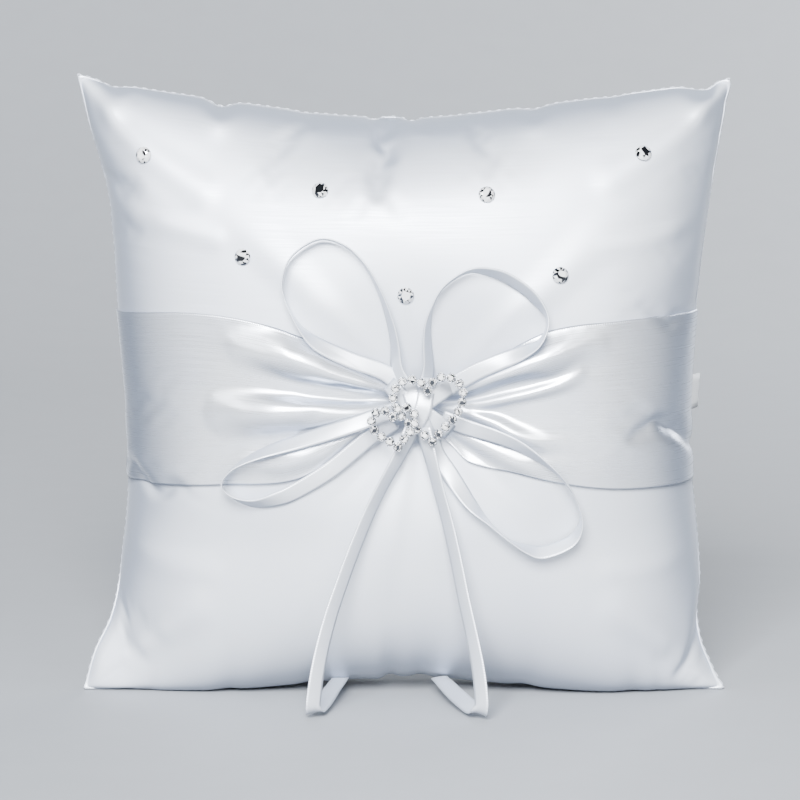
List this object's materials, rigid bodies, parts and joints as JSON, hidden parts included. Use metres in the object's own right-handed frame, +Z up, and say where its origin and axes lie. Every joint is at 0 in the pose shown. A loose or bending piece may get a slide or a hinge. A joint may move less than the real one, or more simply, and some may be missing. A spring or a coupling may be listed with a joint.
{
  "type": "ring bearer pillow",
  "caption": "Square white satin ring pillow with a gathered sash, ribbon bow with long ring-tying tails, linked crystal hearts and scattered stones.",
  "frame": {"origin": "on the table, under the middle of the footprint of the pillow standing on its lower edge, tails included", "axes": "+X to the viewer's right along the width, +Y from the front with the bow to the back, +Z up"},
  "size_m": [0.2, 0.091, 0.19],
  "materials": {
    "cover_satin": "soft white duchess satin with a low sheen",
    "sash_satin": "shiny white ribbon satin with a woven edge",
    "ribbon_satin": "narrow white double-faced satin ribbon",
    "thread": "white polyester thread",
    "filling": "white polyester fibre",
    "silver_metal": "bright silver plating",
    "crystal": "clear cut stones with a silvered back",
    "glue": "clear set adhesive",
    "label_tape": "plain white woven tape, blank"
  },
  "bodies": {
    "pillow": {"front_cover": "cover_satin", "back_cover": "cover_satin", "fibre_filling": "filling", "seam_thread": "thread", "closing_stitches": "thread", "satin_sash": "sash_satin", "gather_stitches": "thread", "bow_knot": "ribbon_satin", "large_heart_frame": "silver_metal", "small_heart_frame": "silver_metal", "large_heart_crystals": "crystal", "small_heart_crystals": "crystal", "brooch_stitches": "thread", "crystal_glue_dots": "glue", "scattered_crystals": "crystal"},
    "upper_left_loop": {"upper_left_loop": "ribbon_satin"},
    "upper_right_loop": {"upper_right_loop": "ribbon_satin"},
    "lower_left_loop": {"lower_left_loop": "ribbon_satin"},
    "lower_right_loop": {"lower_right_loop": "ribbon_satin"},
    "left_tail": {"left_tail": "ribbon_satin"},
    "right_tail": {"right_tail": "ribbon_satin"},
    "care_label": {"care_label": "label_tape"}
  },
  "joints": [
    {"name": "upper_left_loop_lift", "type": "hinge", "parent": "pillow", "child": "upper_left_loop", "pos_m": [-0.00423, -0.03455, 0.10608], "axis": [0.7986, 0, 0.6018], "range_deg": [0, 50]},
    {"name": "upper_right_loop_lift", "type": "hinge", "parent": "pillow", "child": "upper_right_loop", "pos_m": [0.0167, -0.03455, 0.10571], "axis": [0.7771, 0, -0.6293], "range_deg": [0, 50]},
    {"name": "lower_left_loop_lift", "type": "hinge", "parent": "pillow", "child": "lower_left_loop", "pos_m": [-0.00976, -0.03455, 0.08613], "axis": [-0.3746, 0, 0.9272], "range_deg": [0, 50]},
    {"name": "lower_right_loop_lift", "type": "hinge", "parent": "pillow", "child": "lower_right_loop", "pos_m": [0.01958, -0.03455, 0.08227], "axis": [-0.6018, 0, -0.7986], "range_deg": [0, 50]},
    {"name": "left_tail_lift", "type": "hinge", "parent": "pillow", "child": "left_tail", "pos_m": [0.00052, -0.03035, 0.07641], "axis": [-0.9466, 0, 0.3223], "range_deg": [0, 78]},
    {"name": "right_tail_lift", "type": "hinge", "parent": "pillow", "child": "right_tail", "pos_m": [0.00907, -0.03035, 0.07578], "axis": [-0.9836, 0, -0.1805], "range_deg": [0, 78]},
    {"name": "care_label_flap", "type": "hinge", "parent": "pillow", "child": "care_label", "pos_m": [0.0881, 0.0085, 0.0925], "axis": [0, 0, 1], "range_deg": [-110, 20]}
  ]
}
